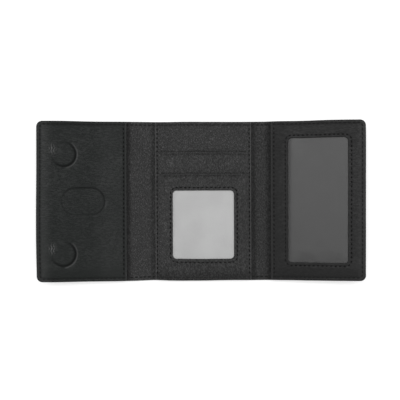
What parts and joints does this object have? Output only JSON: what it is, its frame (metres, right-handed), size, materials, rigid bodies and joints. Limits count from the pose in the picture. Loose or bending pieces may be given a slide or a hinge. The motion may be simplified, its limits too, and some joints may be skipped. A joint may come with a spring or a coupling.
{
  "type": "trifold wallet",
  "caption": "Open trifold wallet in black leather: magnetic flap panel, card panel with a photo window, card-window panel and a banknote pocket, folding shut at creases.",
  "frame": {"origin": "centre of the middle panel's outer face, which lies on the table", "axes": "+X along the opened wallet towards the panel with the card window, +Y towards the mouth of the banknote pocket, +Z out of the inner face"},
  "size_m": [0.2126, 0.1036, 0.0173],
  "materials": {
    "shell_leather": "satin",
    "grained_leather": "satin",
    "smooth_leather": "satin",
    "lining_fabric": "matte",
    "thread": "matte",
    "paperboard": "matte",
    "magnet_plating": "satin",
    "catch_steel": "satin",
    "pocket_back": "matte",
    "insert_card": "matte",
    "window_film": "gloss"
  },
  "bodies": {
    "middle_panel": {"outer_shell_middle": "shell_leather", "shell_lining_middle": "lining_fabric", "bill_pocket_hem_middle": "shell_leather", "liner_middle": "grained_leather", "middle_pad_base": "grained_leather", "rear_slot_hem": "grained_leather", "card_sheet_rear": "grained_leather", "front_slot_hem": "grained_leather", "photo_insert": "insert_card", "photo_window_film": "window_film", "card_sheet_front": "grained_leather", "stitching_middle": "thread"},
    "spine_left": {"outer_shell_spine_left": "shell_leather", "shell_lining_spine_left": "lining_fabric", "bill_pocket_hem_spine_left": "shell_leather", "liner_spine_left": "grained_leather", "stitching_spine_left": "thread"},
    "spine_right": {"outer_shell_spine_right": "shell_leather", "shell_lining_spine_right": "lining_fabric", "bill_pocket_hem_spine_right": "shell_leather", "liner_spine_right": "grained_leather", "stitching_spine_right": "thread"},
    "left_panel": {"outer_shell_left": "shell_leather", "shell_lining_left": "lining_fabric", "bill_pocket_hem_left": "shell_leather", "liner_left": "grained_leather", "left_pad_hem": "smooth_leather", "left_pad_lining": "lining_fabric", "left_pad_board": "paperboard", "magnet_upper": "magnet_plating", "magnet_lower": "magnet_plating", "left_pad_face": "smooth_leather", "stitching_left": "thread"},
    "right_panel": {"outer_shell_right": "shell_leather", "shell_lining_right": "lining_fabric", "bill_pocket_hem_right": "shell_leather", "liner_right": "grained_leather", "right_pad_hem": "grained_leather", "right_pad_board": "paperboard", "catch_disc_upper": "catch_steel", "catch_disc_lower": "catch_steel", "card_pocket_back": "pocket_back", "card_pocket_hem": "grained_leather", "card_window_film": "window_film", "card_pocket_face": "grained_leather", "stitching_right": "thread"}
  },
  "joints": [
    {"name": "left_inner_crease", "type": "hinge", "parent": "middle_panel", "child": "spine_left", "pos_m": [-0.0334, 0, 0.003], "axis": [0, 1, 0], "range_deg": [-5, 85]},
    {"name": "left_outer_crease", "type": "hinge", "parent": "spine_left", "child": "left_panel", "pos_m": [-0.04745, 0, 0.00423], "axis": [0, 1, 0], "range_deg": [-5, 85]},
    {"name": "right_inner_crease", "type": "hinge", "parent": "middle_panel", "child": "spine_right", "pos_m": [0.0334, 0, 0.003], "axis": [0, -1, 0], "range_deg": [-5, 85]},
    {"name": "right_outer_crease", "type": "hinge", "parent": "spine_right", "child": "right_panel", "pos_m": [0.04077, 0, 0.00364], "axis": [0, -1, 0], "range_deg": [-5, 85]}
  ],
  "couplings": [
    {"joint": "left_outer_crease", "follows": "left_inner_crease", "ratio": 1},
    {"joint": "right_outer_crease", "follows": "right_inner_crease", "ratio": 1}
  ]
}
